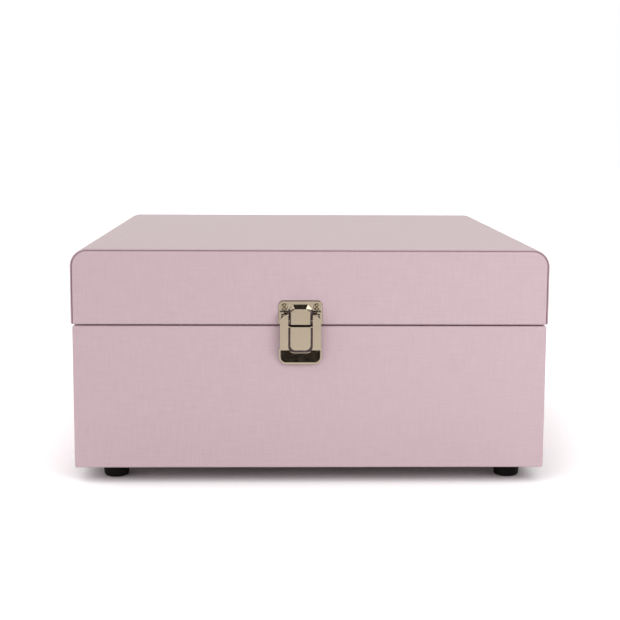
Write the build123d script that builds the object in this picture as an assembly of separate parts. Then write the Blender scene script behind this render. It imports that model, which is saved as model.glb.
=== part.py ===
from build123d import *
import os

# Cloth-covered jewellery box with a hinged lid, a draw latch and a lift-out tray.
# Millimetres. X to the right, Y to the back, Z up.
# The origin is on the table, under the middle of the case.

# Case
CASE_WIDTH = 300.0
CASE_DEPTH = 320.0
BODY_HEIGHT = 91.6
LID_HEIGHT = 47.8
SEAM_GAP = 0.9
WALL_BOARD = 9.0
BOTTOM_BOARD = 6.0
LID_TOP_BOARD = 6.0

# Covers
CLOTH = 0.5
CLOTH_ROUND = 1.0
BASE_TURN_IN = 15.0
SHEET_REVEAL = 0.5
LID_OVERHANG = 0.85
LID_RADIUS = 11.0
BAND = 1.6
BAND_FOOT_ROUND = 1.4
BAND_REVEAL = 0.7
BAND_EDGE_ROUND = 0.6
GROOVE = 0.7
GROOVE_DEPTH = 1.0
FACE_ROUND = 0.4

# Feet
FOOT_HEIGHT = 10.1
FOOT_TOP_RADIUS = 9.0
FOOT_BOTTOM_RADIUS = 7.8
FOOT_ROUND = 2.0
FOOT_INSET = 22.0
FOOT_OFFSET_X = 2.0
FOOT_RECESS_RADIUS = 4.0
FOOT_RECESS_DEPTH = 5.0
FOOT_SCREW_HEAD_RADIUS = 3.4
FOOT_SCREW_HEAD = 2.2
FOOT_SCREW_RADIUS = 1.75
FOOT_SCREW_BITE = 4.5

# Lining and what stands in the body
LINING = 1.5
FLOOR_PAD = 2.5
PAD_ROUND = 0.8
PAD_CLEARANCE = 0.2
RAIL_WIDTH = 8.0
RAIL_HEIGHT = 10.0
RAIL_ROUND = 1.0
DIVIDER = 4.0
DIVIDER_ROUND = 1.2
DIVIDER_HEIGHT = 54.0
DIVIDER_END_CLEARANCE = 0.3
LAP_CLEARANCE = 0.1

# Tray
TRAY_HEIGHT = 30.0
TRAY_SUNK = 14.0
TRAY_CLEARANCE = 2.0
TRAY_WALL = 4.0
TRAY_BASE = 3.0
TRAY_DIVIDER_DROP = 2.0
NOTCH_RADIUS = 13.0
NOTCH_DEPTH = 9.0
TRAY_PAD = 2.0
ROLL_COUNT = 5
ROLL_DIAMETER = 18.0
ROLL_GAP = 0.6
ROLL_FLAT = 0.8
ROLL_END_ROUND = 5.0

# Mirror
MIRROR_MARGIN = 32.0
MIRROR_GLASS = 3.0
MIRROR_LIP = 1.5
MIRROR_GRIP = 4.0
MIRROR_CLEARANCE = 0.3
MIRROR_CORNER = 10.0

# Hinges
HINGE_INSET = 55.0
LEAF_WIDTH = 34.0
LEAF_HEIGHT = 20.0
LEAF = 1.2
LEAF_CORNER = 2.5
LEAF_SEAM_CLEARANCE = 0.4
KNUCKLE_RADIUS = 2.4
KNUCKLE_STANDOFF = 0.2
KNUCKLE_LENGTH = 13.0
KNUCKLE_GAP = 0.3
HINGE_PIN_RADIUS = 1.1
HINGE_PIN_CLEARANCE = 0.05
STOP_ANGLE = 101.0
STOP_REACH = 7.0
STOP_ROOT = 1.7
LEAF_SCREW_X = 11.0
LEAF_SCREW_Z = 12.0
LEAF_SCREW_HEAD_RADIUS = 2.6
LEAF_SCREW_RADIUS = 1.2
LEAF_SCREW_LENGTH = 8.0

# Latch: u across, v up from the seam, w out from the front of the case
LATCH_OFFSET_X = -6.3
PLATE = 0.8
PLATE_ROUND = 0.7
CATCH_WIDTH = 27.8
CATCH_BOTTOM = 0.6
CATCH_TOP = 16.0
CATCH_CORNER = 3.0
CATCH_SCREW_U = 10.2
CATCH_SCREW_V = 12.0
LATCH_SCREW_HEAD_RADIUS = 2.2
LATCH_SCREW_HEAD = 1.1
LATCH_SCREW_RADIUS = 1.2
LATCH_SCREW_LENGTH = 8.0
HOOK_WIDTH = 12.3
HOOK_BOTTOM = 1.1
HOOK_LEDGE = 10.3
HOOK_LIP = 1.0
HOOK_CHAMFER_U = 2.4
HOOK_CHAMFER_V = 2.2
HOOK_SLOT = 1.7
TONGUE_FACE = 5.8
TONGUE_WIDTH = 12.9
TONGUE_TOP = 0.0
TONGUE_BOTTOM = -15.2
TONGUE_CORNER = 3.4
METAL_ROUND = 0.3
LEVER_FACE = 6.0
LEVER_WIDTH = 25.9
LEVER_FOOT_WIDTH = 27.0
LEVER_WINDOW = 15.4
LEVER_WINDOW_BOTTOM = -16.4
LEVER_WINDOW_CORNER = 3.8
LEVER_LIP = 0.4
LEVER_LIP_BACK = 4.4
LEVER_LIP_FACE = 5.6
LEVER_TOP_CORNER = 2.4
LEVER_TOP_BACK = 4.6
LEVER_BEND = -14.9
LEVER_BEVEL_END = -23.3
LEVER_END = -24.5
LEVER_RIM_FACE = 2.2
LEVER_CORNER = 5.0
LEVER_RIM = 1.0
LEVER_SKIRT = 1.8
LEVER_CHEEK_BOTTOM = 1.0
LEVER_CHEEK_BACK = 2.6
PIVOT_V = 6.8
PIVOT_W = 3.6
PIVOT_PIN_RADIUS = 0.8
PIVOT_CLEARANCE = 0.05
EAR_INNER_U = 9.0
EAR = 1.2
EAR_RADIUS = 1.35
EAR_FRONT = 4.6
EAR_ROOT_BOTTOM = -9.0
EAR_ROOT_TOP = -0.9
EAR_STANDOFF = 1.5
BASE_WIDTH = 21.2
BASE_TOP = -0.6
BASE_BOTTOM = -22.0
BASE_SCREW_U = 8.2
BASE_SCREW_V = -19.2
BASE_OPENING = 15.8
BASE_OPENING_TOP = -1.4
BASE_OPENING_BOTTOM = -17.2
LOOP = 0.6
LOOP_SIDE_GAP = 0.3
LOOP_PIVOT_V = 3.7
LOOP_PIVOT_W = 4.2
LOOP_EYE_RADIUS = 0.9
LOOP_PEG_RADIUS = 0.55
LOOP_PEG_LENGTH = 1.2
LOOP_BAR_BACK = 1.3
LOOP_BAR = 1.6
LOOP_BAR_SEAT = 0.1
LOOP_SEAT_DEPTH = 0.7
LOOP_BAR_HEIGHT = 3.0
LOOP_SHOULDER = 2.8
LOOP_SLOPE = 2.4
LOOP_SLOPE_DEPTH = 1.3

# All screws: a cross of V grooves, and the round of a pan head as a share of its height
PAN_ROUND = 0.75
SLOT_SIDE = 0.65
SLOT_END = 0.5

# Levels and half sizes worked out from the sizes above
body_z = FOOT_HEIGHT
rim_z = body_z + BODY_HEIGHT
seam_z = rim_z + SEAM_GAP / 2
lid_z = rim_z + SEAM_GAP
lid_top_z = lid_z + LID_HEIGHT
case_x = CASE_WIDTH / 2
case_y = CASE_DEPTH / 2
board_x = case_x - CLOTH
board_y = case_y - CLOTH
inner_x = board_x - WALL_BOARD
inner_y = board_y - WALL_BOARD
lined_x = inner_x - LINING
lined_y = inner_y - LINING
floor_z = body_z + CLOTH + BOTTOM_BOARD
pad_z = floor_z + FLOOR_PAD
lid_x = case_x + LID_OVERHANG
lid_board_x = lid_x - BAND
lid_inner_x = lid_board_x - WALL_BOARD
lid_lined_x = lid_inner_x - LINING
ceiling_z = lid_top_z - BAND - LID_TOP_BOARD
glass_z = ceiling_z - MIRROR_GLASS
mirror_width = 2 * (lid_lined_x - MIRROR_MARGIN)
mirror_depth = 2 * (lined_y - MIRROR_MARGIN)
tray_x = min(lined_x, lid_lined_x) - TRAY_CLEARANCE
tray_y = lined_y - TRAY_CLEARANCE
tray_z = rim_z - TRAY_SUNK
tray_floor_z = tray_z + TRAY_BASE
tray_top_z = tray_z + TRAY_HEIGHT
hinge_x = case_x - HINGE_INSET
hinge_y = case_y + KNUCKLE_RADIUS + KNUCKLE_STANDOFF
latch_x = LATCH_OFFSET_X
latch_plane = Plane(origin=(latch_x, -case_y, seam_z), x_dir=(1, 0, 0), z_dir=(0, -1, 0))
side_plane = Plane(origin=(0, 0, 0), x_dir=(0, 0, 1), z_dir=(-1, 0, 0))

STANDING = (Align.CENTER, Align.CENTER, Align.MIN)
HANGING = (Align.CENTER, Align.CENTER, Align.MAX)

parts = {}


def span(half):
    return (-half, half)


def slab(x, y, z):
    ranges = (x, y, z)
    middle = [(low + high) / 2 for low, high in ranges]
    size = [high - low for low, high in ranges]
    return Pos(*middle) * Box(*size)


def plan_prism(points, low, high):
    face = make_face(Polyline(*points, close=True))
    return Pos(0, 0, low) * extrude(face, high - low, dir=(0, 0, 1))


def mitred_walls(outer_x, outer_y, thick, low, high):
    in_x = outer_x - thick
    in_y = outer_y - thick
    front_plan = [(-outer_x, -outer_y), (outer_x, -outer_y), (in_x, -in_y), (-in_x, -in_y)]
    right_plan = [(outer_x, -outer_y), (outer_x, outer_y), (in_x, in_y), (in_x, -in_y)]
    front = plan_prism(front_plan, low, high)
    right = plan_prism(right_plan, low, high)
    return {
        "front": front,
        "back": mirror(front, about=Plane.XZ),
        "left": mirror(right, about=Plane.YZ),
        "right": right,
    }


def ring(outer_x, outer_y, thick, low, high):
    hole = slab(span(outer_x - thick), span(outer_y - thick), (low, high))
    return slab(span(outer_x), span(outer_y), (low, high)) - hole


def rounded_slab(x, y, z, radius):
    block = slab(x, y, z)
    return fillet(block.edges().group_by(Axis.Z)[-1], radius)


def both_sides(solid):
    return [solid, mirror(solid, about=Plane.YZ)]


def upright(width, low, high):
    return Pos(0, (low + high) / 2) * Rectangle(width, high - low)


def on_latch(solid):
    return latch_plane.location * solid


def side_profile(sketch, low, high):
    # A profile drawn as (w, v) and given its width along u.
    return Pos(low, 0, 0) * extrude(side_plane * sketch, high - low, dir=(1, 0, 0))


def pan_screw(head_radius, head, shank_radius, length):
    # Axis along Z: the head stands on z = 0 and the shank goes down.
    top = Cylinder(head_radius, head, align=STANDING)
    top = fillet(top.edges().group_by(Axis.Z)[-1], PAN_ROUND * head)
    return top + Cylinder(shank_radius, length, align=HANGING)


def flat_screw(head_radius, head, shank_radius, length):
    # Axis along Z: the flat top of the head is at z = 0.
    cone = Cone(shank_radius, head_radius, head, align=HANGING)
    return cone + Cylinder(shank_radius, length, align=HANGING)


def slotted(screw, head_radius, top):
    groove = Rot(45, 0, 0) * Box(2 * (head_radius - SLOT_END), SLOT_SIDE, SLOT_SIDE)
    return screw - [Pos(0, 0, top) * Rot(0, 0, turn) * groove for turn in (45, 135)]


# Fasteners, set out first because the boards and covers are drilled for them

foot_places = [
    (f"foot_{row}_{side}", sign_x * (case_x - FOOT_INSET) + FOOT_OFFSET_X, sign_y * (case_y - FOOT_INSET))
    for row, sign_y in (("front", -1), ("rear", 1))
    for side, sign_x in (("left", -1), ("right", 1))
]
foot_screw_length = FOOT_HEIGHT - FOOT_RECESS_DEPTH + CLOTH + FOOT_SCREW_BITE
foot_screw = pan_screw(FOOT_SCREW_HEAD_RADIUS, FOOT_SCREW_HEAD, FOOT_SCREW_RADIUS, foot_screw_length)
foot_screw = slotted(foot_screw, FOOT_SCREW_HEAD_RADIUS, FOOT_SCREW_HEAD)
foot_screws = [Pos(x, y, FOOT_RECESS_DEPTH) * Rot(180, 0, 0) * foot_screw for _, x, y in foot_places]

leaf_screw = flat_screw(LEAF_SCREW_HEAD_RADIUS, LEAF, LEAF_SCREW_RADIUS, LEAF_SCREW_LENGTH)
leaf_screw_y = case_y + LEAF


def leaf_screws(side, screw):
    places = [
        (hinge * hinge_x + offset * LEAF_SCREW_X, leaf_screw_y, seam_z + side * LEAF_SCREW_Z)
        for hinge in (-1, 1)
        for offset in (-1, 1)
    ]
    return [Pos(*place) * Rot(-90, 0, 0) * screw for place in places]


body_leaf_holes = leaf_screws(-1, leaf_screw)
lid_leaf_holes = leaf_screws(1, leaf_screw)
leaf_screw = slotted(leaf_screw, LEAF_SCREW_HEAD_RADIUS, 0)

latch_screw = pan_screw(LATCH_SCREW_HEAD_RADIUS, LATCH_SCREW_HEAD, LATCH_SCREW_RADIUS, LATCH_SCREW_LENGTH)
latch_screw = slotted(latch_screw, LATCH_SCREW_HEAD_RADIUS, LATCH_SCREW_HEAD)
catch_screws = [on_latch(s) for s in both_sides(Pos(CATCH_SCREW_U, CATCH_SCREW_V, PLATE) * latch_screw)]
base_screws = [on_latch(s) for s in both_sides(Pos(BASE_SCREW_U, BASE_SCREW_V, PLATE) * latch_screw)]


# Body of the case

body_walls = mitred_walls(board_x, board_y, WALL_BOARD, floor_z, rim_z - CLOTH)
parts["body_front_panel"] = body_walls["front"] - base_screws
parts["body_back_panel"] = body_walls["back"] - body_leaf_holes
parts["body_left_panel"] = body_walls["left"]
parts["body_right_panel"] = body_walls["right"]
bottom = slab(span(board_x), span(board_y), (body_z + CLOTH, floor_z))
parts["body_bottom_panel"] = bottom - foot_screws


def body_cover():
    # One skin: round the four sides, over the rim and a little way under the base.
    outside = slab(span(case_x), span(case_y), (body_z, rim_z))
    skin = fillet(outside.edges(), CLOTH_ROUND)
    skin -= slab(span(board_x), span(board_y), (body_z + CLOTH, rim_z - CLOTH))
    skin -= slab(span(inner_x), span(inner_y), (floor_z, rim_z))
    skin -= slab(span(case_x - BASE_TURN_IN), span(case_y - BASE_TURN_IN), (body_z, floor_z))
    return skin - body_leaf_holes - base_screws - foot_screws


sheet_x = case_x - BASE_TURN_IN - SHEET_REVEAL
sheet_y = case_y - BASE_TURN_IN - SHEET_REVEAL
parts["body_cover"] = body_cover()
parts["base_sheet"] = slab(span(sheet_x), span(sheet_y), (body_z, body_z + CLOTH)) - foot_screws


def foot():
    cone = Cone(FOOT_BOTTOM_RADIUS, FOOT_TOP_RADIUS, FOOT_HEIGHT, align=STANDING)
    cone = fillet(cone.edges().group_by(Axis.Z)[0], FOOT_ROUND)
    recess = Cylinder(FOOT_RECESS_RADIUS, FOOT_RECESS_DEPTH, align=STANDING)
    hole = Cylinder(FOOT_SCREW_RADIUS, FOOT_HEIGHT, align=STANDING)
    return cone - recess - hole


for name, x, y in foot_places:
    parts[name] = Pos(x, y, 0) * foot()
parts["foot_screws"] = Part() + foot_screws

# Lining, tray rails and lower dividers

parts["body_wall_lining"] = ring(inner_x, inner_y, LINING, floor_z, rim_z)
pad_x = lined_x - PAD_CLEARANCE
pad_y = lined_y - PAD_CLEARANCE
parts["body_floor_pad"] = rounded_slab(span(pad_x), span(pad_y), (floor_z, pad_z), PAD_ROUND)

rail_z = (tray_z - RAIL_HEIGHT, tray_z)
rail = slab((lined_x - RAIL_WIDTH, lined_x), span(lined_y), rail_z)
rail = fillet(rail.edges().filter_by(Axis.Y).group_by(Axis.X)[0], RAIL_ROUND)
parts["tray_rail_right"], parts["tray_rail_left"] = both_sides(rail)

divider_z = (pad_z, pad_z + DIVIDER_HEIGHT)
lap_z = pad_z + DIVIDER_HEIGHT / 2
lap_half = DIVIDER / 2 + LAP_CLEARANCE


def lower_divider(half_length, half_thick):
    board = slab(span(half_length), span(half_thick), divider_z)
    return fillet(board.edges().group_by(Axis.Z)[-1].filter_by(Axis.X), DIVIDER_ROUND)


long_divider = lower_divider(lined_x - DIVIDER_END_CLEARANCE, DIVIDER / 2)
cross_divider = Rot(0, 0, 90) * lower_divider(lined_y - DIVIDER_END_CLEARANCE, DIVIDER / 2)
for side, sign in (("left", -1), ("right", 1)):
    place = sign * lined_x / 3
    long_divider -= slab((place - lap_half, place + lap_half), span(DIVIDER), (lap_z, divider_z[1]))
    slot = slab((place - DIVIDER, place + DIVIDER), span(lap_half), (divider_z[0], lap_z))
    parts[f"lower_cross_divider_{side}"] = Pos(place, 0, 0) * cross_divider - slot
parts["lower_long_divider"] = long_divider

# Lift-out tray

tray_walls = mitred_walls(tray_x, tray_y, TRAY_WALL, tray_floor_z, tray_top_z)
notch = Rot(0, 90, 0) * Cylinder(NOTCH_RADIUS, CASE_WIDTH)
notch = Pos(0, 0, tray_top_z + NOTCH_RADIUS - NOTCH_DEPTH) * notch
for side, wall in tray_walls.items():
    length = Axis.X if side in ("front", "back") else Axis.Y
    wall = fillet(wall.edges().group_by(Axis.Z)[-1].filter_by(length), DIVIDER_ROUND)
    parts[f"tray_{side}_wall"] = wall if length == Axis.X else wall - notch
parts["tray_base"] = slab(span(tray_x), span(tray_y), (tray_z, tray_floor_z))

tray_in_x = tray_x - TRAY_WALL
tray_in_y = tray_y - TRAY_WALL
roll_pitch = ROLL_DIAMETER + ROLL_GAP
ring_well_end = -tray_in_x + ROLL_COUNT * roll_pitch + ROLL_GAP
divider_top_z = tray_top_z - TRAY_DIVIDER_DROP
well_x = (ring_well_end + DIVIDER, tray_in_x)
tray_divider = slab((ring_well_end, well_x[0]), span(tray_in_y), (tray_floor_z, divider_top_z))
tray_divider = fillet(tray_divider.edges().group_by(Axis.Z)[-1].filter_by(Axis.Y), DIVIDER_ROUND)
parts["tray_long_divider"] = tray_divider

tray_pad_z = tray_floor_z + TRAY_PAD
parts["tray_floor_pad"] = rounded_slab(
    (well_x[0] + PAD_CLEARANCE, well_x[1] - PAD_CLEARANCE),
    span(tray_in_y - PAD_CLEARANCE),
    (tray_floor_z, tray_pad_z),
    PAD_ROUND,
)
cross_y = tray_in_y / 3
for row, sign in (("front", -1), ("rear", 1)):
    y = sign * cross_y
    board = slab(well_x, (y - DIVIDER / 2, y + DIVIDER / 2), (tray_pad_z, divider_top_z))
    board = fillet(board.edges().group_by(Axis.Z)[-1].filter_by(Axis.X), DIVIDER_ROUND)
    parts[f"tray_cross_divider_{row}"] = board


def ring_roll():
    # A stuffed roll with rounded ends, lying along Y and flat where it rests.
    roll_radius = ROLL_DIAMETER / 2
    roll = Cylinder(roll_radius, 2 * (tray_in_y - ROLL_GAP))
    roll = Rot(90, 0, 0) * fillet(roll.edges().filter_by(GeomType.CIRCLE), ROLL_END_ROUND)
    roll = Pos(0, 0, roll_radius - ROLL_FLAT) * roll
    return roll - slab(span(ROLL_DIAMETER), span(tray_in_y), (-ROLL_DIAMETER, 0))


for index in range(ROLL_COUNT):
    x = -tray_in_x + ROLL_GAP + ROLL_DIAMETER / 2 + index * roll_pitch
    parts[f"ring_roll_{index + 1}"] = Pos(x, 0, tray_floor_z) * ring_roll()


# Lid


def lid_prism(inset, y, low):
    # The arched outline of the lid, drawn in by inset, between two values of y.
    half = lid_x - inset
    top = lid_top_z - inset
    outline = upright(2 * half, low, top)
    outline = fillet(outline.vertices().group_by(Axis.Y)[-1], LID_RADIUS - inset)
    return Pos(0, y[0], 0) * extrude(Plane.XZ * outline, y[1] - y[0], dir=(0, 1, 0))


lid_board_z = lid_z + CLOTH
face_inset = BAND_REVEAL + GROOVE
groove_y = board_y - GROOVE_DEPTH
lid_front = lid_prism(BAND, (-groove_y, -inner_y), lid_board_z)
lid_front += lid_prism(face_inset + CLOTH, (-board_y, -groove_y), lid_board_z)
lid_core = lid_prism(BAND, span(inner_y), lid_board_z)
lid_side = lid_core & slab((lid_inner_x, lid_x), span(inner_y), (lid_board_z, lid_top_z))
lid_top = lid_core & slab(span(lid_inner_x), span(inner_y), (ceiling_z, lid_top_z))
parts["lid_front_panel"] = lid_front - catch_screws
parts["lid_back_panel"] = mirror(lid_front, about=Plane.XZ) - lid_leaf_holes
parts["lid_right_panel"], parts["lid_left_panel"] = both_sides(lid_side)
parts["lid_top_panel"] = lid_top


def lid_band_cover():
    # A thick wrap over the left side, the top and the right side, turned in under the side boards.
    block = lid_prism(0, span(case_y), lid_z)
    block = fillet(block.edges().filter_by(Axis.Y).group_by(Axis.Z)[0], BAND_FOOT_ROUND)
    block = fillet(block.faces().filter_by(Axis.Y).edges(), BAND_EDGE_ROUND)
    block -= lid_prism(BAND, span(groove_y), lid_z)
    for zone in ((-case_y, -groove_y), (groove_y, case_y)):
        block -= lid_prism(BAND_REVEAL, zone, lid_z)
    turn_in = slab((lid_inner_x, lid_board_x), span(inner_y), (lid_z, lid_board_z))
    return block + both_sides(turn_in)


def lid_front_cover():
    # The cloth on the front board, turned down into a groove that is left open towards the band.
    cloth = lid_prism(face_inset, (-case_y, -groove_y), lid_z)
    cloth -= lid_prism(face_inset + CLOTH, (-board_y, -groove_y), lid_board_z)
    cloth += slab(span(lid_board_x), (-groove_y, -inner_y), (lid_z, lid_board_z))
    edges = cloth.edges().filter_by(Axis.X).group_by(Axis.Z)[0]
    cloth = fillet(edges.sort_by(Axis.Y)[0], CLOTH_ROUND)
    rim = cloth.faces().sort_by(Axis.Y)[0].edges()
    return fillet(rim.filter_by(lambda edge: edge.center().Z > lid_z + 2 * CLOTH_ROUND), FACE_ROUND)


parts["lid_band_cover"] = lid_band_cover()
parts["lid_front_cover"] = lid_front_cover() - catch_screws
parts["lid_back_cover"] = mirror(lid_front_cover(), about=Plane.XZ) - lid_leaf_holes
parts["lid_wall_lining"] = ring(lid_inner_x, inner_y, LINING, lid_z, ceiling_z)


def rounded_plate(width, depth, corner, low, high):
    return Pos(0, 0, low) * extrude(RectangleRounded(width, depth, corner), high - low)


def mirror_frame():
    # A covered card on the ceiling of the lid, with a rebate that grips the edge of the glass.
    frame_z = (glass_z - MIRROR_LIP, ceiling_z)
    card = slab(span(lid_lined_x - PAD_CLEARANCE), span(lined_y - PAD_CLEARANCE), frame_z)
    seat_width = mirror_width + 2 * MIRROR_CLEARANCE
    seat_depth = mirror_depth + 2 * MIRROR_CLEARANCE
    seat_corner = MIRROR_CORNER + MIRROR_CLEARANCE
    card -= rounded_plate(seat_width, seat_depth, seat_corner, glass_z, ceiling_z)
    sight_width = mirror_width - 2 * MIRROR_GRIP
    sight_depth = mirror_depth - 2 * MIRROR_GRIP
    sight_corner = MIRROR_CORNER - MIRROR_GRIP
    return card - rounded_plate(sight_width, sight_depth, sight_corner, frame_z[0], frame_z[1])


parts["mirror_frame"] = mirror_frame()
parts["mirror"] = rounded_plate(mirror_width, mirror_depth, MIRROR_CORNER, glass_z, ceiling_z)


# Stop hinges, drawn about x = 0 and then set at their places


def barrel(radius, low, high):
    rod = Rot(0, 90, 0) * Cylinder(radius, high - low)
    return Pos((low + high) / 2, hinge_y, seam_z) * rod


leaf_half = LEAF_WIDTH / 2
mid_half = KNUCKLE_LENGTH / 2
side_knuckles = [(-leaf_half, -mid_half - KNUCKLE_GAP), (mid_half + KNUCKLE_GAP, leaf_half)]
mid_knuckle = (-mid_half, mid_half)
swept_radius = KNUCKLE_RADIUS + KNUCKLE_GAP


def leaf_plate(side):
    # The flat of a leaf: side is -1 below the seam and 1 above it.
    ends = sorted((side * LEAF_SEAM_CLEARANCE, side * LEAF_HEIGHT))
    plate = slab(span(leaf_half), (case_y, case_y + LEAF), (seam_z + ends[0], seam_z + ends[1]))
    corners = plate.edges().filter_by(Axis.Y).group_by(Axis.Z)[-1 if side > 0 else 0]
    return fillet(corners, LEAF_CORNER)


def stop_tail(side, x):
    # The stop flange: its contact face lies in a plane through the pin.
    thick = sorted((0, side * LEAF))
    flange = slab(x, (STOP_ROOT, STOP_REACH), thick)
    return Pos(0, hinge_y, seam_z) * Rot(side * STOP_ANGLE / 2, 0, 0) * flange


def body_leaf():
    leaf = leaf_plate(-1) + stop_tail(-1, span(leaf_half))
    leaf -= barrel(swept_radius, -mid_half - KNUCKLE_GAP, mid_half + KNUCKLE_GAP)
    for knuckle in side_knuckles:
        leaf += barrel(KNUCKLE_RADIUS, *knuckle)
    return leaf - barrel(HINGE_PIN_RADIUS, -leaf_half, leaf_half)


def lid_leaf():
    leaf = leaf_plate(1)
    for low, high in side_knuckles:
        leaf -= barrel(swept_radius, low - KNUCKLE_GAP, high + KNUCKLE_GAP)
    leaf = leaf + stop_tail(1, mid_knuckle) + barrel(KNUCKLE_RADIUS, *mid_knuckle)
    return leaf - barrel(HINGE_PIN_RADIUS + HINGE_PIN_CLEARANCE, -leaf_half, leaf_half)


for side, sign in (("left", -1), ("right", 1)):
    place = Pos(sign * hinge_x, 0, 0)
    parts[f"hinge_{side}_body_leaf"] = place * body_leaf() - body_leaf_holes
    parts[f"hinge_{side}_lid_leaf"] = place * lid_leaf() - lid_leaf_holes
    parts[f"hinge_{side}_pin"] = place * barrel(HINGE_PIN_RADIUS, -leaf_half, leaf_half)
parts["hinge_body_screws"] = Part() + leaf_screws(-1, leaf_screw)
parts["hinge_lid_screws"] = Part() + leaf_screws(1, leaf_screw)


# Draw latch, drawn in (u, v, w)

lever_half = LEVER_WIDTH / 2
window_half = LEVER_WINDOW / 2
hook_half = HOOK_WIDTH / 2
tongue_half = TONGUE_WIDTH / 2
knuckle = LEVER_FACE - PIVOT_W
tongue_back = TONGUE_FACE - PLATE
hook_top = HOOK_LEDGE + HOOK_LIP


def latch_axis(radius, u, v, w):
    rod = Rot(0, 90, 0) * Cylinder(radius, u[1] - u[0])
    return Pos((u[0] + u[1]) / 2, v, w) * rod


def latch_catch_plate():
    outline = upright(CATCH_WIDTH, CATCH_BOTTOM, CATCH_TOP)
    outline = fillet(outline.vertices().group_by(Axis.Y)[-1], CATCH_CORNER)
    plate = extrude(outline, PLATE)
    plate = fillet(plate.edges().group_by(Axis.Z)[-1], PLATE_ROUND)
    slot = slab((hook_half, hook_half + HOOK_SLOT), (CATCH_BOTTOM, HOOK_LEDGE), (0, PLATE))
    plate -= both_sides(slot)
    face = [
        (-hook_half, HOOK_BOTTOM),
        (hook_half, HOOK_BOTTOM),
        (hook_half, hook_top - HOOK_CHAMFER_V),
        (hook_half - HOOK_CHAMFER_U, hook_top),
        (HOOK_CHAMFER_U - hook_half, hook_top),
        (-hook_half, hook_top - HOOK_CHAMFER_V),
    ]
    hook = plan_prism(face, 0, TONGUE_FACE)
    hook = fillet(hook.edges().group_by(Axis.Z)[-1], METAL_ROUND)
    hook -= slab(span(hook_half), (HOOK_LEDGE, hook_top), (0, tongue_back))
    hook -= slab(span(hook_half - PLATE), (HOOK_BOTTOM, HOOK_LEDGE - PLATE), (0, tongue_back))
    return plate + hook


def latch_base_plate():
    plate = slab(span(BASE_WIDTH / 2), (BASE_BOTTOM, BASE_TOP), (0, PLATE))
    plate -= slab(span(BASE_OPENING / 2), (BASE_OPENING_BOTTOM, BASE_OPENING_TOP), (0, PLATE))
    plate += slab(span(tongue_half), (BASE_TOP - PLATE, TONGUE_TOP), (0, PLATE))
    outline = upright(TONGUE_WIDTH, TONGUE_BOTTOM, TONGUE_TOP)
    outline = fillet(outline.vertices().group_by(Axis.Y)[0], TONGUE_CORNER)
    tongue = extrude(outline, TONGUE_FACE)
    tongue = fillet(tongue.edges().group_by(Axis.Z)[-1], METAL_ROUND)
    tongue -= slab(span(TONGUE_WIDTH), (TONGUE_BOTTOM, TONGUE_TOP - PLATE), (0, tongue_back))
    ear = make_face(Polyline(
        (0, EAR_ROOT_BOTTOM),
        (PLATE, EAR_ROOT_BOTTOM),
        (EAR_FRONT, EAR_ROOT_TOP),
        (PIVOT_W + EAR_RADIUS, PIVOT_V),
        (PIVOT_W - EAR_RADIUS, PIVOT_V),
        (EAR_STANDOFF, -EAR_ROOT_TOP),
        (EAR_STANDOFF, EAR_ROOT_TOP),
        (0, EAR_ROOT_TOP),
        close=True,
    ))
    ear += Pos(PIVOT_W, PIVOT_V) * Circle(EAR_RADIUS)
    ear -= Pos(PIVOT_W, PIVOT_V) * Circle(PIVOT_PIN_RADIUS)
    ears = both_sides(side_profile(ear, EAR_INNER_U, EAR_INNER_U + EAR))
    return plate + tongue + ears


def foot_outline(inset, top):
    outline = upright(LEVER_FOOT_WIDTH - 2 * inset, LEVER_END + inset, top)
    return fillet(outline.vertices().group_by(Axis.Y)[0], LEVER_CORNER - inset)


def bevelled_block(outline, back, drop):
    # The outline raised from back to the slope of the bevel, with the slope lowered by drop.
    slope = make_face(Polyline(
        (back, LEVER_BEND),
        (LEVER_FACE - drop, LEVER_BEND),
        (LEVER_RIM_FACE - drop, LEVER_BEVEL_END),
        (back, LEVER_BEVEL_END),
        close=True,
    ))
    return extrude(outline, LEVER_FACE) & side_profile(slope, -lever_half, lever_half)


def lever_foot():
    inner = LEVER_RIM + PLATE
    bevel = bevelled_block(foot_outline(LEVER_RIM, LEVER_BEND), LEVER_SKIRT, 0)
    bevel -= bevelled_block(foot_outline(inner, LEVER_BEND), 0, PLATE)
    rim = foot_outline(0, LEVER_BEND + PLATE) - foot_outline(inner, LEVER_BEND + PLATE)
    return bevel + Pos(0, 0, LEVER_RIM_FACE - PLATE) * extrude(rim, PLATE)


def window_block(lip, top, back, face):
    outline = upright(LEVER_WINDOW + 2 * lip, LEVER_WINDOW_BOTTOM - lip, top)
    outline = fillet(outline.vertices().group_by(Axis.Y)[0], LEVER_WINDOW_CORNER + lip)
    return Pos(0, 0, back) * extrude(outline, face - back)


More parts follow.
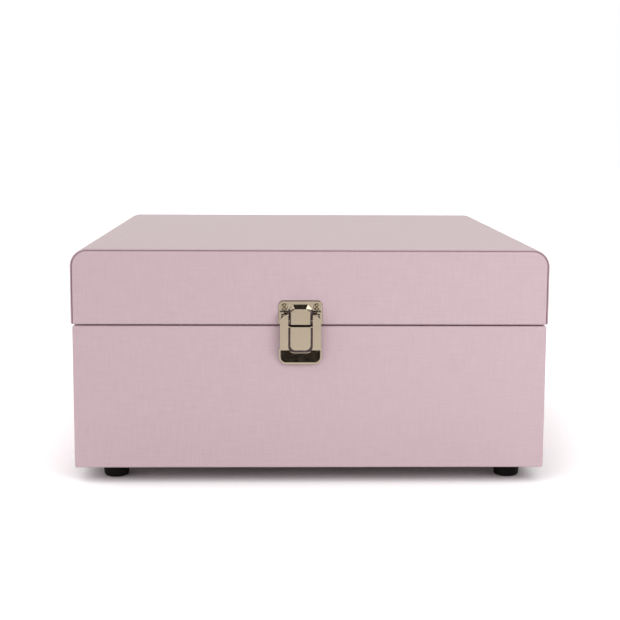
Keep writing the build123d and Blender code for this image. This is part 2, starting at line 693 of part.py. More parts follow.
def latch_lever():
    # Formed sheet: two bars, a bevelled foot inside a flat rim, and cheeks that carry the pins.
    inner_face = LEVER_FACE - PLATE
    sheet = Pos((inner_face + LEVER_FACE) / 2, 0) * upright(PLATE, LEVER_BEND, PIVOT_V)
    curl = Circle(knuckle) - Circle(knuckle - PLATE)
    curl &= Pos(knuckle / 2, knuckle / 2) * Rectangle(knuckle, knuckle)
    shell = side_profile(sheet + Pos(PIVOT_W, PIVOT_V) * curl, -lever_half, lever_half)
    skirt = make_face(Polyline(
        (PIVOT_W - knuckle, PIVOT_V),
        (LEVER_FACE, PIVOT_V),
        (LEVER_FACE, LEVER_BEND),
        (LEVER_SKIRT, LEVER_BEND),
        (LEVER_SKIRT, LEVER_CHEEK_BOTTOM),
        close=True,
    ))
    skirt += Pos(PIVOT_W, PIVOT_V) * Circle(knuckle)
    cheek = make_face(Polyline(
        (PIVOT_W - knuckle, PIVOT_V),
        (LEVER_FACE, PIVOT_V),
        (LEVER_FACE, LEVER_CHEEK_BOTTOM),
        (LEVER_CHEEK_BACK, LEVER_CHEEK_BOTTOM),
        close=True,
    ))
    cheek += Pos(PIVOT_W, PIVOT_V) * Circle(knuckle)
    sides = both_sides(side_profile(skirt, lever_half - PLATE, lever_half))
    sides += both_sides(side_profile(cheek, window_half, window_half + PLATE))
    lever_top = PIVOT_V + knuckle
    corner = plan_prism(
        [
            (lever_half, PIVOT_V - LEVER_TOP_CORNER),
            (lever_half, lever_top),
            (lever_half - LEVER_TOP_CORNER, lever_top),
            (lever_half - LEVER_TOP_CORNER, PIVOT_V),
        ],
        LEVER_TOP_BACK,
        LEVER_FACE,
    )
    lever = shell + sides + lever_foot()
    lever += window_block(LEVER_LIP, LEVER_CHEEK_BOTTOM, LEVER_LIP_BACK, LEVER_LIP_FACE)
    lever -= both_sides(corner)
    lever -= window_block(0, lever_top, 0, LEVER_FACE)
    pin_hole = PIVOT_PIN_RADIUS + PIVOT_CLEARANCE
    peg_hole = LOOP_PEG_RADIUS + PIVOT_CLEARANCE
    lever -= latch_axis(pin_hole, span(lever_half), PIVOT_V, PIVOT_W)
    return lever - latch_axis(peg_hole, span(EAR_INNER_U), LOOP_PIVOT_V, LOOP_PIVOT_W)


def latch_loop():
    # The draw loop: a humped bar that bears on the hook, two legs, and a peg on each leg.
    leg_outer = window_half - LOOP_SIDE_GAP
    leg_inner = leg_outer - LOOP
    bar_low = HOOK_LEDGE + LOOP_BAR_SEAT
    bar_high = bar_low + LOOP_BAR_HEIGHT
    bar_front = LOOP_BAR_BACK + LOOP_BAR
    bar = plan_prism(
        [
            (-leg_outer, bar_low),
            (leg_outer, bar_low),
            (leg_outer, bar_high - LOOP_SHOULDER),
            (leg_outer - LOOP_SHOULDER, bar_high),
            (LOOP_SHOULDER - leg_outer, bar_high),
            (-leg_outer, bar_high - LOOP_SHOULDER),
        ],
        LOOP_BAR_BACK,
        bar_front,
    )
    slope = make_face(Polyline(
        (bar_front - LOOP_SLOPE_DEPTH, 0),
        (bar_front, 0),
        (bar_front, -LOOP_SLOPE),
        close=True,
    ))
    slope = side_profile(slope, -leg_outer, leg_outer)
    shoulder_u = leg_outer - LOOP_SHOULDER / 2
    shoulder_v = bar_high - LOOP_SHOULDER / 2
    undercut = make_face(Polyline(
        (LOOP_BAR_BACK + LOOP_SEAT_DEPTH, bar_low),
        (bar_front, bar_low),
        (bar_front, bar_high - LOOP_SLOPE),
        close=True,
    ))
    bar -= side_profile(undercut, -leg_outer, leg_outer)
    bar -= Pos(0, bar_high, 0) * slope
    for sign in (-1, 1):
        bar -= Pos(sign * shoulder_u, shoulder_v, 0) * Rot(0, 0, -45 * sign) * slope
    leg = make_face(Polyline(
        (LOOP_BAR_BACK, bar_high - LOOP_SHOULDER),
        (LOOP_BAR_BACK, bar_low),
        (LOOP_PIVOT_W - LOOP_EYE_RADIUS, LOOP_PIVOT_V),
        (LOOP_PIVOT_W + LOOP_EYE_RADIUS, LOOP_PIVOT_V),
        (LOOP_BAR_BACK + LOOP, bar_high - LOOP_SHOULDER),
        close=True,
    ))
    leg += Pos(LOOP_PIVOT_W, LOOP_PIVOT_V) * Circle(LOOP_EYE_RADIUS)
    sides = both_sides(side_profile(leg, leg_inner, leg_outer))
    peg_u = (leg_inner, leg_outer + LOOP_PEG_LENGTH)
    peg = latch_axis(LOOP_PEG_RADIUS, peg_u, LOOP_PIVOT_V, LOOP_PIVOT_W)
    return bar + sides + both_sides(peg)


pin = latch_axis(PIVOT_PIN_RADIUS, (window_half, lever_half), PIVOT_V, PIVOT_W)
parts["latch_catch_plate"] = on_latch(latch_catch_plate()) - catch_screws
parts["latch_catch_screws"] = Part() + catch_screws
parts["latch_base_plate"] = on_latch(latch_base_plate()) - base_screws
parts["latch_base_screws"] = Part() + base_screws
parts["latch_pivot_pins"] = Part() + [on_latch(p) for p in both_sides(pin)]
parts["latch_lever"] = on_latch(latch_lever())
parts["latch_loop"] = on_latch(latch_loop())

os.makedirs("parts", exist_ok=True)
for name, solid in parts.items():
    export_step(solid, f"parts/{name}.step")
print(len(parts), "nodes")
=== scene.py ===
import math

import bpy
import numpy as np
from mathutils import Matrix, Vector


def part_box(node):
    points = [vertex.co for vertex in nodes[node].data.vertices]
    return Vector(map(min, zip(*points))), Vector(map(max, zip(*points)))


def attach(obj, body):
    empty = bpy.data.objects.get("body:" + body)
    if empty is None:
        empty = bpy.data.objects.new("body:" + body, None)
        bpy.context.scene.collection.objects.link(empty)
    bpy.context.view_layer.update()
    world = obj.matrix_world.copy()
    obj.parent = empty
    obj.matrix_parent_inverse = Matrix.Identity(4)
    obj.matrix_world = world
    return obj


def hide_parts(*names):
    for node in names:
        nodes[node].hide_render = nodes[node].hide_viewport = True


# Looks of a cloth-covered jewellery box with a draw latch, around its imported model.
# Metres, X to the right, Y to the back, Z up; sizes in the dictionaries are millimetres.

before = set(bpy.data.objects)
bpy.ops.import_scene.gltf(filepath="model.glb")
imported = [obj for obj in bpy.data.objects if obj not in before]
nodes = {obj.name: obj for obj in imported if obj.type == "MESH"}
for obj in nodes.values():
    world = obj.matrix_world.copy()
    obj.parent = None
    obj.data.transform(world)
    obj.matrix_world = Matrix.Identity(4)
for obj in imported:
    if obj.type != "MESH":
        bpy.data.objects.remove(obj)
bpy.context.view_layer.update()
mm = 0.001
print("frame loaded:", len(nodes), "nodes")


# Small helpers

def hexLinear(code):
    channels = [int(code[i:i + 2], 16) / 255 for i in (1, 3, 5)]
    linear = [c / 12.92 if c <= 0.04045 else ((c + 0.055) / 1.055) ** 2.4 for c in channels]
    return (*linear, 1.0)


def addNode(tree, kind, inputs=None, **settings):
    made = tree.nodes.new(kind)
    for name, value in settings.items():
        setattr(made, name, value)
    for socket, value in (inputs or {}).items():
        if isinstance(value, bpy.types.NodeSocket):
            tree.links.new(value, made.inputs[socket])
        else:
            made.inputs[socket].default_value = value
    return made


def newMaterial(name, **shaderInputs):
    made = bpy.data.materials.new(name)
    made.use_nodes = True
    tree = made.node_tree
    shader = tree.nodes["Principled BSDF"]
    for socket, value in shaderInputs.items():
        shader.inputs[socket.replace("_", " ")].default_value = value
    return made, tree, shader


def plug(tree, shader, **links):
    for socket, output in links.items():
        tree.links.new(output, shader.inputs[socket.replace("_", " ")])


def wear(material, *names):
    for name in names:
        nodes[name].data.materials.clear()
        nodes[name].data.materials.append(material)


def surfaceMillimetres(tree):
    # Two coordinates that lie in the surface, in millimetres, whichever way a flat side faces.
    coordinates = addNode(tree, "ShaderNodeTexCoord")
    place = addNode(tree, "ShaderNodeSeparateXYZ", {0: coordinates.outputs["Object"]})
    facing = addNode(tree, "ShaderNodeSeparateXYZ", {0: coordinates.outputs["Normal"]})
    steep = 0.7
    isSide = addNode(tree, "ShaderNodeMath", {0: facing.outputs[0]}, operation="ABSOLUTE")
    isSide = addNode(tree, "ShaderNodeMath", {0: isSide.outputs[0], 1: steep}, operation="GREATER_THAN")
    isFlat = addNode(tree, "ShaderNodeMath", {0: facing.outputs[2]}, operation="ABSOLUTE")
    isFlat = addNode(tree, "ShaderNodeMath", {0: isFlat.outputs[0], 1: steep}, operation="GREATER_THAN")
    across = addNode(tree, "ShaderNodeMix", {0: isSide.outputs[0], 2: place.outputs[0], 3: place.outputs[1]})
    along = addNode(tree, "ShaderNodeMix", {0: isFlat.outputs[0], 2: place.outputs[2], 3: place.outputs[1]})
    joined = addNode(tree, "ShaderNodeCombineXYZ", {0: across.outputs[0], 1: along.outputs[0]})
    scaled = addNode(tree, "ShaderNodeVectorMath", {0: joined.outputs[0]}, operation="SCALE")
    scaled.inputs["Scale"].default_value = 1 / mm
    return scaled.outputs[0]


# Camera

cameraSet = {
    "place": (-19.72, -987.4, 227.93),  # fitted to the corners of the case in the photograph
    "yaw": -1.345,
    "pitch": -7.972,
    "roll": -0.27,
    "focalPixels": 1325.8,
    "framePixels": 620,
    "sensor": 36.0,
    "clip": (10, 50000),
}


def makeCamera(s):
    data = bpy.data.cameras.new("camera")
    data.sensor_width = s["sensor"]
    data.lens = s["focalPixels"] * s["sensor"] / s["framePixels"]
    data.clip_start, data.clip_end = (value * mm for value in s["clip"])
    made = bpy.data.objects.new("camera", data)
    bpy.context.scene.collection.objects.link(made)
    turn = Matrix.Rotation(math.radians(s["yaw"]), 3, "Z")
    turn = turn @ Matrix.Rotation(math.radians(s["pitch"]), 3, "X")
    turn = turn @ Matrix.Rotation(math.radians(s["roll"]), 3, "Y")
    right, ahead, up = (turn.col[i] for i in range(3))
    basis = Matrix((right, up, -ahead)).transposed()
    made.matrix_world = Matrix.Translation(Vector(s["place"]) * mm) @ basis.to_4x4()
    bpy.context.scene.camera = made


makeCamera(cameraSet)
print("camera set")


# Cover: linen-weave book cloth, a starched dyed fabric glued over board.
# Matt, with faint uneven threads both ways, and paler where it is seen at a low angle.

bookClothSet = {
    "pale": "#D3B9C0",
    "deep": "#CCB1B9",
    "roughness": 0.45,
    "sheen": 0.24,
    "sheenTint": "#FFF4E6",
    "sheenRoughness": 0.4,
    "toneSpread": (0.3, 0.7),
    "thread": 1.3,       # real threads are about 0.5 mm; drawn coarser so that they show
    "slubLength": 14.0,
    "reliefDepth": 0.03,
    "reliefStrength": 0.5,
}


def makeBookCloth(s):
    made, tree, shader = newMaterial(
        "linenBookCloth", Roughness=s["roughness"], IOR=1.48, Sheen_Weight=s["sheen"],
        Sheen_Roughness=s["sheenRoughness"], Sheen_Tint=hexLinear(s["sheenTint"]),
    )
    surface = surfaceMillimetres(tree)
    slubs = []
    for stretch in ((s["thread"], s["slubLength"]), (s["slubLength"], s["thread"])):
        scale = (1 / stretch[0], 1 / stretch[1], 1)
        stretched = addNode(tree, "ShaderNodeMapping", {"Vector": surface, "Scale": scale})
        noise = {"Vector": stretched.outputs[0], "Scale": 1, "Detail": 2}
        slubs.append(addNode(tree, "ShaderNodeTexNoise", noise))
    both = addNode(tree, "ShaderNodeMath", {0: slubs[0].outputs[0], 1: slubs[1].outputs[0]}, operation="ADD")
    halves = addNode(tree, "ShaderNodeMath", {0: both.outputs[0], 1: 0.5}, operation="MULTIPLY")
    low, high = s["toneSpread"]
    tone = addNode(tree, "ShaderNodeMapRange", {0: halves.outputs[0], 1: low, 2: high})
    tones = {6: hexLinear(s["deep"]), 7: hexLinear(s["pale"])}
    colour = addNode(tree, "ShaderNodeMix", {0: tone.outputs[0], **tones}, data_type="RGBA")
    split = addNode(tree, "ShaderNodeSeparateXYZ", {0: surface})
    perThread = 2 * math.pi / s["thread"]
    turns = [
        addNode(tree, "ShaderNodeMath", {0: split.outputs[i], 1: perThread}, operation="MULTIPLY")
        for i in (0, 1)
    ]
    waves = [addNode(tree, "ShaderNodeMath", {0: turn.outputs[0]}, operation="SINE") for turn in turns]
    crossed = {0: waves[0].outputs[0], 1: waves[1].outputs[0]}
    weave = addNode(tree, "ShaderNodeMath", crossed, operation="MULTIPLY")
    relief = addNode(tree, "ShaderNodeMath", {0: weave.outputs[0], 1: both.outputs[0]}, operation="ADD")
    depth = s["reliefDepth"] * mm
    bump = addNode(tree, "ShaderNodeBump", {"Strength": s["reliefStrength"], "Distance": depth,
                                            "Height": relief.outputs[0]})
    plug(tree, shader, Base_Color=colour.outputs[2], Normal=bump.outputs[0])
    return made


bookCloth = makeBookCloth(bookClothSet)
wear(bookCloth, "body_cover", "lid_band_cover", "lid_front_cover", "lid_back_cover")


# Boards and base sheet: raw MDF, pressed wood fibre with a felted look, and lining paper glued
# under the case, with soft fibres and a dry surface.

mdfSet = {"light": "#BF9C74", "dark": "#9C7850", "fibre": 1.2, "detail": 4, "roughness": 0.8,
          "reliefDepth": 0.1, "reliefStrength": 0.3}
paperSet = {"light": "#CDB9BE", "dark": "#BEA8AE", "fibre": 0.8, "detail": 5, "roughness": 0.85,
            "reliefDepth": 0.05, "reliefStrength": 0.2}


def makePressedFibre(name, s):
    made, tree, shader = newMaterial(name, Roughness=s["roughness"], IOR=1.45)
    coordinates = addNode(tree, "ShaderNodeTexCoord")
    fibres = addNode(tree, "ShaderNodeTexNoise", {"Vector": coordinates.outputs["Object"],
                                                  "Scale": 1 / (s["fibre"] * mm), "Detail": s["detail"]})
    tones = {6: hexLinear(s["dark"]), 7: hexLinear(s["light"])}
    colour = addNode(tree, "ShaderNodeMix", {0: fibres.outputs[0], **tones}, data_type="RGBA")
    depth = s["reliefDepth"] * mm
    bump = addNode(tree, "ShaderNodeBump", {"Strength": s["reliefStrength"], "Distance": depth,
                                            "Height": fibres.outputs[0]})
    plug(tree, shader, Base_Color=colour.outputs[2], Normal=bump.outputs[0])
    return made


fourSides = ("front", "back", "left", "right")
boardNames = [f"{half}_{side}_panel" for half in ("body", "lid") for side in fourSides]
wear(makePressedFibre("rawMdf", mdfSet), *boardNames, "body_bottom_panel", "lid_top_panel")
wear(makePressedFibre("liningPaper", paperSet), "base_sheet")


# Feet: moulded rubber, near black, a fine spark-eroded mould grain and a soft shine.

rubberSet = {"worn": "#1B1614", "fresh": "#0C0908", "grain": 0.25, "cloud": 6.0, "roughness": 0.7,
             "shine": 0.12, "reliefDepth": 0.04, "reliefStrength": 0.25}


def makeRubber(s):
    made, tree, shader = newMaterial(
        "mouldedRubber", Roughness=s["roughness"], IOR=1.52, Specular_IOR_Level=s["shine"]
    )
    coordinates = addNode(tree, "ShaderNodeTexCoord")
    grain = addNode(tree, "ShaderNodeTexNoise", {"Vector": coordinates.outputs["Object"],
                                                 "Scale": 1 / (s["grain"] * mm), "Detail": 2})
    cloud = addNode(tree, "ShaderNodeTexNoise", {"Vector": coordinates.outputs["Object"],
                                                 "Scale": 1 / (s["cloud"] * mm), "Detail": 3})
    tones = {6: hexLinear(s["fresh"]), 7: hexLinear(s["worn"])}
    colour = addNode(tree, "ShaderNodeMix", {0: cloud.outputs[0], **tones}, data_type="RGBA")
    depth = s["reliefDepth"] * mm
    bump = addNode(tree, "ShaderNodeBump", {"Strength": s["reliefStrength"], "Distance": depth,
                                            "Height": grain.outputs[0]})
    plug(tree, shader, Base_Color=colour.outputs[2], Normal=bump.outputs[0])
    return made


footNames = [f"foot_{row}_{side}" for row in ("front", "rear") for side in ("left", "right")]
wear(makeRubber(rubberSet), *footNames)


# Latch and hinges: stamped steel with bright nickel plate. A warm mirror with faint buffing haze.

nickelSet = {"bright": "#A29584", "dull": "#938673", "haze": 3.0, "detail": 4, "hazeSpread": (0.3, 0.7),
             "smooth": 0.14, "rough": 0.26}
screwSet = {"bright": "#B1A48F", "dull": "#938672", "haze": 1.0, "detail": 4, "hazeSpread": (0.3, 0.7),
            "smooth": 0.16, "rough": 0.3}


def makeHazyMetal(name, s):
    made, tree, shader = newMaterial(name, Metallic=1.0)
    coordinates = addNode(tree, "ShaderNodeTexCoord")
    haze = addNode(tree, "ShaderNodeTexNoise", {"Vector": coordinates.outputs["Object"],
                                                "Scale": 1 / (s["haze"] * mm), "Detail": s["detail"]})
    tones = {6: hexLinear(s["dull"]), 7: hexLinear(s["bright"])}
    colour = addNode(tree, "ShaderNodeMix", {0: haze.outputs[0], **tones}, data_type="RGBA")
    low, high = s["hazeSpread"]
    polish = addNode(tree, "ShaderNodeMapRange", {0: haze.outputs[0], 1: low, 2: high,
                                                  3: s["smooth"], 4: s["rough"]})
    plug(tree, shader, Base_Color=colour.outputs[2], Roughness=polish.outputs[0])
    return made


easedSet = {"radius": 0.25, "segments": 2, "fromAngle": 40, "weld": 0.002}


def easeEdges(name, s):
    # The stamped edges carry a small radius that catches the light.
    piece = nodes[name]
    weld = piece.modifiers.new("weld", "WELD")
    weld.merge_threshold = s["weld"] * mm
    bevel = piece.modifiers.new("eased", "BEVEL")
    bevel.width = s["radius"] * mm
    bevel.segments = s["segments"]
    bevel.limit_method = "ANGLE"
    bevel.angle_limit = math.radians(s["fromAngle"])
    bevel.harden_normals = True


latchNames = ["latch_catch_plate", "latch_base_plate", "latch_lever", "latch_loop"]
hingePieces = ("body_leaf", "lid_leaf", "pin")
hingeNames = [f"hinge_{side}_{piece}" for side in ("left", "right") for piece in hingePieces]
wear(makeHazyMetal("brightNickelPlate", nickelSet), *latchNames, *hingeNames, "latch_pivot_pins")
easeEdges("latch_lever", easedSet)
wear(
    makeHazyMetal("platedScrewSteel", screwSet),
    "foot_screws", "hinge_body_screws", "hinge_lid_screws", "latch_catch_screws", "latch_base_screws",
)


# Lining: short-pile velvet on card, pale blush, lighter where the pile is seen side on.

velvetSet = {
    "nap": "#DFCBC7",
    "shade": "#D7C1BD",
    "pile": 0.5,
    "brushMark": 22.0,
    "roughness": 0.95,
    "sheen": 0.6,
    "sheenRoughness": 0.35,
    "markSpread": (0.35, 0.65),
    "markSwirl": 0.6,
    "reliefDepth": 0.15,
    "reliefStrength": 0.4,
}


def makeVelvet(s):
    made, tree, shader = newMaterial(
        "blushVelvet", Roughness=s["roughness"], IOR=1.45, Sheen_Weight=s["sheen"],
        Sheen_Roughness=s["sheenRoughness"],
    )
    coordinates = addNode(tree, "ShaderNodeTexCoord")
    marks = addNode(tree, "ShaderNodeTexNoise", {"Vector": coordinates.outputs["Object"],
                                                 "Scale": 1 / (s["brushMark"] * mm), "Detail": 3,
                                                 "Distortion": s["markSwirl"]})
    pile = addNode(tree, "ShaderNodeTexNoise", {"Vector": coordinates.outputs["Object"],
                                                "Scale": 1 / (s["pile"] * mm), "Detail": 2})
    low, high = s["markSpread"]
    patches = addNode(tree, "ShaderNodeMapRange", {0: marks.outputs[0], 1: low, 2: high})
    tones = {6: hexLinear(s["shade"]), 7: hexLinear(s["nap"])}
    colour = addNode(tree, "ShaderNodeMix", {0: patches.outputs[0], **tones}, data_type="RGBA")
    depth = s["reliefDepth"] * mm
    bump = addNode(tree, "ShaderNodeBump", {"Strength": s["reliefStrength"], "Distance": depth,
                                            "Height": pile.outputs[0]})
    plug(tree, shader, Base_Color=colour.outputs[2], Normal=bump.outputs[0])
    return made


velvet = makeVelvet(velvetSet)
trayNames = ["tray_base", "tray_long_divider", "tray_cross_divider_front", "tray_cross_divider_rear"]
trayNames += [f"tray_{side}_wall" for side in fourSides]
wear(
    velvet, *trayNames, "body_wall_lining", "lid_wall_lining", "mirror_frame", "tray_rail_left",
    "tray_rail_right", "lower_long_divider", "lower_cross_divider_left", "lower_cross_divider_right",
)


# Mirror: silvered float glass, with the faintest wiping haze. The silver makes it a metal to the eye.

mirrorSet = {"bright": "#F0F3F2", "dull": "#E2E9E6", "haze": 40.0, "detail": 5, "hazeSpread": (0.4, 0.7),
             "smooth": 0.015, "rough": 0.05}
wear(makeHazyMetal("silveredGlass", mirrorSet), "mirror")
print("materials on the model's own pieces")


# Pads and ring rolls: foam under velvet, made by a short cloth run.

clothRunSet = {"frames": 20, "quality": 6, "pointMass": 0.2, "stretch": 12, "bending": 0.6}


def settle(made, pressure, pinned, cap, run):
    # Swells a closed mesh a little, holding the pinned points, and keeps what moved within the cap.
    mesh = made.data
    before = np.array([v.co for v in mesh.vertices])
    group = made.vertex_groups.new(name="held")
    group.add([int(i) for i in pinned], 1.0, "REPLACE")
    cloth = made.modifiers.new("cloth", "CLOTH")
    cloth.settings.quality = run["quality"]
    cloth.settings.mass = run["pointMass"]
    cloth.settings.tension_stiffness = run["stretch"]
    cloth.settings.compression_stiffness = run["stretch"]
    cloth.settings.bending_stiffness = run["bending"]
    cloth.settings.vertex_group_mass = "held"
    cloth.settings.use_pressure = True
    cloth.settings.uniform_pressure_force = pressure
    cloth.settings.effector_weights.gravity = 0
    cloth.point_cache.frame_end = run["frames"]
    scene = bpy.context.scene
    for number in range(1, run["frames"] + 1):
        scene.frame_set(number)
    shape = made.evaluated_get(bpy.context.evaluated_depsgraph_get())
    after = np.array([v.co for v in shape.data.vertices])
    made.modifiers.clear()
    made.vertex_groups.clear()
    scene.frame_set(1)
    move = after - before
    reach = np.linalg.norm(move, axis=1, keepdims=True)
    tiny = 1e-9
    move *= np.minimum(1, cap * mm / np.maximum(reach, tiny))
    mesh.vertices.foreach_set("co", (before + move).ravel())
    mesh.update()


def newPiece(name, points, faces, material):
    mesh = bpy.data.meshes.new(name)
    mesh.from_pydata(points, [], faces)
    mesh.update()
    mesh.polygons.foreach_set("use_smooth", [True] * len(mesh.polygons))
    mesh.materials.append(material)
    made = bpy.data.objects.new(name, mesh)
    bpy.context.scene.collection.objects.link(made)
    return made


padSet = {"step": 5.0, "pressure": 2.5, "cap": 2.2, "edgeInset": 0.4, "sideShare": 0.55, "pressShare": 0.6,
          "fill": 0.5}


def makePad(node, body, pressedX, pressedY, s):
    # A thin foam pad: held down along the lines where dividers stand on it, crowned between them.
    low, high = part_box(node)
    inset = s["edgeInset"] * mm
    counts = [max(4, round((high[i] - low[i]) / (s["step"] * mm))) for i in (0, 1)]
    xs, ys = (np.linspace(low[i] + inset, high[i] - inset, counts[i] + 1) for i in (0, 1))
    wide, deep = len(xs), len(ys)
    thick = high[2] - low[2]
    points = []
    for level in (0, 1):
        for j, y in enumerate(ys):
            for i, x in enumerate(xs):
                edge = i in (0, wide - 1) or j in (0, deep - 1)
                rise = thick * (s["sideShare"] if edge else 1.0) * level
                points.append((x, y, low[2] + rise))
    top = wide * deep

    def at(i, j, level):
        return level * top + j * wide + i

    faces = []
    for j in range(deep - 1):
        for i in range(wide - 1):
            ring = [(i, j), (i + 1, j), (i + 1, j + 1), (i, j + 1)]
            faces.append([at(a, b, 1) for a, b in ring])
            faces.append([at(a, b, 0) for a, b in reversed(ring)])
    border = [(i, 0) for i in range(wide - 1)] + [(wide - 1, j) for j in range(deep - 1)]
    border += [(i, deep - 1) for i in range(wide - 1, 0, -1)] + [(0, j) for j in range(deep - 1, 0, -1)]
    for (a, b), (c, d) in zip(border, border[1:] + border[:1]):
        faces.append([at(a, b, 0), at(c, d, 0), at(c, d, 1), at(a, b, 1)])
    made = newPiece(f"{node}_cushion", points, faces, velvet)
    near = s["pressShare"] * s["step"] * mm
    pinned = list(range(top))
    for j, y in enumerate(ys):
        for i, x in enumerate(xs):
            edge = i in (0, wide - 1) or j in (0, deep - 1)
            pressed = any(abs(x - p) < near for p in pressedX) or any(abs(y - p) < near for p in pressedY)
            if edge or pressed:
                pinned.append(at(i, j, 1))
    settle(made, s["pressure"], pinned, s["cap"], clothRunSet)
    soften = made.modifiers.new("soften", "SUBSURF")
    soften.levels = soften.render_levels = 1
    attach(made, body)
    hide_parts(node)


def middle(node, axis):
    low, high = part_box(node)
    return (low[axis] + high[axis]) / 2


lowerCross = [middle(f"lower_cross_divider_{side}", 0) for side in ("left", "right")]
trayCross = [middle(f"tray_cross_divider_{row}", 1) for row in ("front", "rear")]
makePad("body_floor_pad", "body", lowerCross, [middle("lower_long_divider", 1)], padSet)
makePad("tray_floor_pad", "tray", [], trayCross, padSet)
print("floor pads made")


rollSet = {"count": 5, "around": 28, "step": 5.0, "start": 0.93, "endRound": 6.0, "pressure": 3.0, "cap": 0.9,
           "wrinkle": 0.18, "wrinklePitch": 17.0, "lift": 0.02, "heldBelow": 0.3, "sideSlack": 0.15,
           "seed": 40, "fill": 0.8}


def makeRoll(node, index, s):
    # A stuffed roll, gathered at both ends and flat where it lies on the tray.
    low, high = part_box(node)
    centre = Vector((low + high) / 2)
    radius = (high[0] - low[0]) / 2
    axisZ = high[2] - radius
    half = (high[1] - low[1]) / 2
    lowest = low[2] + s["lift"] * mm
    count = max(8, round(2 * half / (s["step"] * mm)))
    stations = [half * -math.cos(math.pi * k / count) for k in range(1, count)]
    random = np.random.default_rng(s["seed"] + index)
    phase = random.uniform(0, 2 * math.pi, 3)
    points = []
    for y in stations:
        inFromEnd = (half - abs(y)) / mm
        share = min(1.0, inFromEnd / s["endRound"])
        roundness = math.sqrt(max(0.0, 1 - (1 - share) ** 2))
        for a in range(s["around"]):
            angle = 2 * math.pi * a / s["around"]
            sway = 2 * math.sin(angle + phase[1])
            ripple = math.sin(y / mm * 2 * math.pi / s["wrinklePitch"] + phase[0] + sway)
            reach = radius * s["start"] * roundness + s["wrinkle"] * mm * ripple * share
            z = max(axisZ + reach * math.sin(angle), lowest)
            points.append((centre[0] + reach * math.cos(angle), centre[1] + y, z))
    rings = len(stations)
    around = s["around"]
    faces = []
    for k in range(rings - 1):
        for a in range(around):
            b = (a + 1) % around
            faces.append([k * around + a, (k + 1) * around + a, (k + 1) * around + b, k * around + b])
    for k, y in ((0, -half), (rings - 1, half)):
        points.append((centre[0], centre[1] + y, axisZ))
        tip = len(points) - 1
        for a in range(around):
            b = (a + 1) % around
            ends = [k * around + a, k * around + b] if k == 0 else [k * around + b, k * around + a]
            faces.append([tip, *ends])
    made = newPiece(f"{node}_cushion", points, faces, velvet)
    pinned = [i for i, p in enumerate(points) if p[2] < low[2] + s["heldBelow"] * mm]
    settle(made, s["pressure"], pinned, s["cap"], clothRunSet)
    co = np.array([v.co for v in made.data.vertices])
    slack = s["sideSlack"] * mm
    co[:, 2] = np.maximum(co[:, 2], lowest)
    co[:, 0] = np.clip(co[:, 0], low[0] - slack, high[0] + slack)
    made.data.vertices.foreach_set("co", co.ravel())
    made.data.update()
    soften = made.modifiers.new("soften", "SUBSURF")
    soften.levels = soften.render_levels = 1
    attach(made, "tray")
    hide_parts(node)


for index in range(rollSet["count"]):
    makeRoll(f"ring_roll_{index + 1}", index, rollSet)
print("ring rolls made")


# Studio: white floor and sky, brightest in front and on the left, one soft box on the right,
# and cards, two dark and one lit, that only the polished metal shows.

studioSet = {
    "skyAll": 0.4,
    "skyFront": 0.56,
    "skyLeft": 0.85,
    "fullFrom": 0.12,      # height, as a sine, from which front and left give their full light
    "floorAlbedo": 0.82,
    "floorShown": 1.8,     # what the camera sees, so that the lit floor is white and the shadow stays
    "contactReach": 75,    # the shadow close to the object is deepened within this distance
    "contactDepth": 0.6,
    "floorSize": 12000,
    "softBox": {"place": (500, -760, 480), "size": (400, 400), "watts": 2.05, "aim": (0, -160, 80)},
    "cardColour": "#3C3936",
    "cards": {
        "cardLow": {"middle": (-6, -214, 1), "size": (280, 68), "glow": 0.0},
        "cardHigh": {"middle": (-6, -480, 620), "size": (1200, 1200), "glow": 0.0},
        "cardLeft": {"middle": (-720, -817, 618), "size": (220, 220), "glow": 3.0},
    },
}


def seenDirectly(tree):
    # 1 for what the camera sees, straight or in metal and glass, and 0 for light on the object.
    path = addNode(tree, "ShaderNodeLightPath")
    seen = path.outputs["Is Camera Ray"]
    for kind in ("Is Glossy Ray", "Is Transmission Ray"):
        either = addNode(tree, "ShaderNodeMath", {0: seen, 1: path.outputs[kind]}, operation="MAXIMUM")
        seen = either.outputs[0]
    return seen


def makeWorld(s):
    world = bpy.data.worlds.new("studio")
    bpy.context.scene.world = world
    world.use_nodes = True
    tree = world.node_tree
    tree.nodes.clear()
    direction = addNode(tree, "ShaderNodeTexCoord").outputs["Generated"]
    split = addNode(tree, "ShaderNodeSeparateXYZ", {0: direction})
    front = addNode(tree, "ShaderNodeMapRange", {0: split.outputs[1], 1: 0.0, 2: -1.0, 4: s["skyFront"]})
    left = addNode(tree, "ShaderNodeMapRange", {0: split.outputs[0], 1: 0.0, 2: -1.0, 4: s["skyLeft"]})
    sides = addNode(tree, "ShaderNodeMath", {0: front.outputs[0], 1: left.outputs[0]}, operation="ADD")
    height = addNode(tree, "ShaderNodeMapRange", {0: split.outputs[2], 2: s["fullFrom"]})
    light = addNode(tree, "ShaderNodeMath", {0: sides.outputs[0], 1: height.outputs[0], 2: s["skyAll"]},
                    operation="MULTIPLY_ADD")
    strength = addNode(tree, "ShaderNodeMix", {0: seenDirectly(tree), 2: light.outputs[0], 3: 1.0})
    sky = addNode(tree, "ShaderNodeBackground", {"Strength": strength.outputs[0], "Color": (1, 1, 1, 1)})
    out = addNode(tree, "ShaderNodeOutputWorld")
    tree.links.new(sky.outputs[0], out.inputs["Surface"])


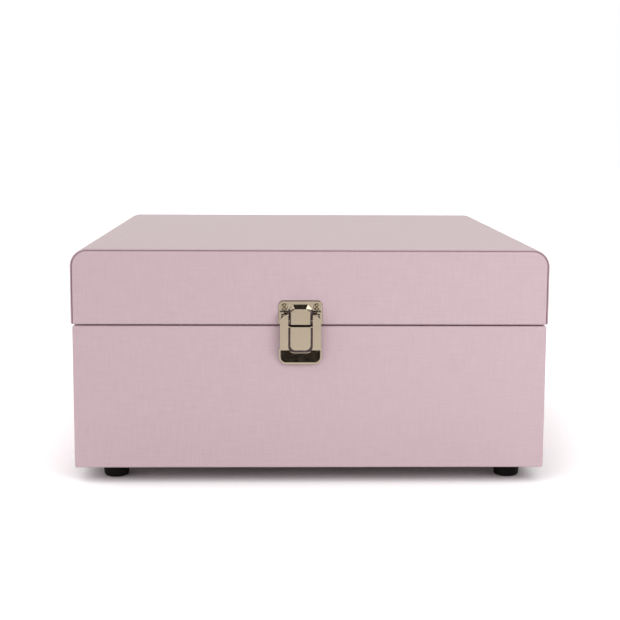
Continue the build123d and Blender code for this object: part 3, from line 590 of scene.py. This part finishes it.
def makeSheet(name, middle, size, material):
    x, y, z = (value * mm for value in middle)
    wide, deep = (value * mm / 2 for value in size)
    signs = ((-1, -1), (1, -1), (1, 1), (-1, 1))
    corners = [(x + a * wide, y + b * deep, z) for a, b in signs]
    mesh = bpy.data.meshes.new(name)
    mesh.from_pydata(corners, [], [(0, 1, 2, 3)])
    mesh.materials.append(material)
    made = bpy.data.objects.new(name, mesh)
    bpy.context.scene.collection.objects.link(made)
    return made


def makeFloor(s):
    material = bpy.data.materials.new("paintedFloor")
    material.use_nodes = True
    tree = material.node_tree
    tree.nodes.clear()
    near = addNode(tree, "ShaderNodeAmbientOcclusion", {"Distance": s["contactReach"] * mm})
    darkest = s["floorShown"] * (1 - s["contactDepth"])
    shown = addNode(tree, "ShaderNodeMapRange", {0: near.outputs["AO"], 3: darkest, 4: s["floorShown"]})
    shade = addNode(tree, "ShaderNodeMix", {0: seenDirectly(tree), 2: s["floorAlbedo"], 3: shown.outputs[0]})
    paint = addNode(tree, "ShaderNodeBsdfDiffuse", {"Color": shade.outputs[0]})
    out = addNode(tree, "ShaderNodeOutputMaterial")
    tree.links.new(paint.outputs[0], out.inputs["Surface"])
    makeSheet("floor", (0, 0, 0), (s["floorSize"], s["floorSize"]), material)


def makeCards(s):
    for name, card in s["cards"].items():
        paper, _, _ = newMaterial(
            name, Base_Color=hexLinear(s["cardColour"]), Roughness=1.0, Specular_IOR_Level=0.0,
            Emission_Color=(1, 1, 1, 1), Emission_Strength=card["glow"],
        )
        made = makeSheet(name, card["middle"], card["size"], paper)
        made.visible_camera = made.visible_diffuse = made.visible_shadow = made.visible_transmission = False


def makeSoftBox(box):
    data = bpy.data.lights.new("softBox", "AREA")
    data.shape = "RECTANGLE"
    data.size, data.size_y = (value * mm for value in box["size"])
    data.energy = box["watts"]
    made = bpy.data.objects.new("softBox", data)
    bpy.context.scene.collection.objects.link(made)
    made.visible_camera = False
    made.location = Vector(box["place"]) * mm
    made.rotation_euler = (Vector(box["aim"]) * mm - made.location).to_track_quat("-Z", "Y").to_euler()


makeWorld(studioSet)
makeFloor(studioSet)
makeCards(studioSet)
makeSoftBox(studioSet["softBox"])
print("studio set")

bpy.context.scene.view_settings.view_transform = "Standard"
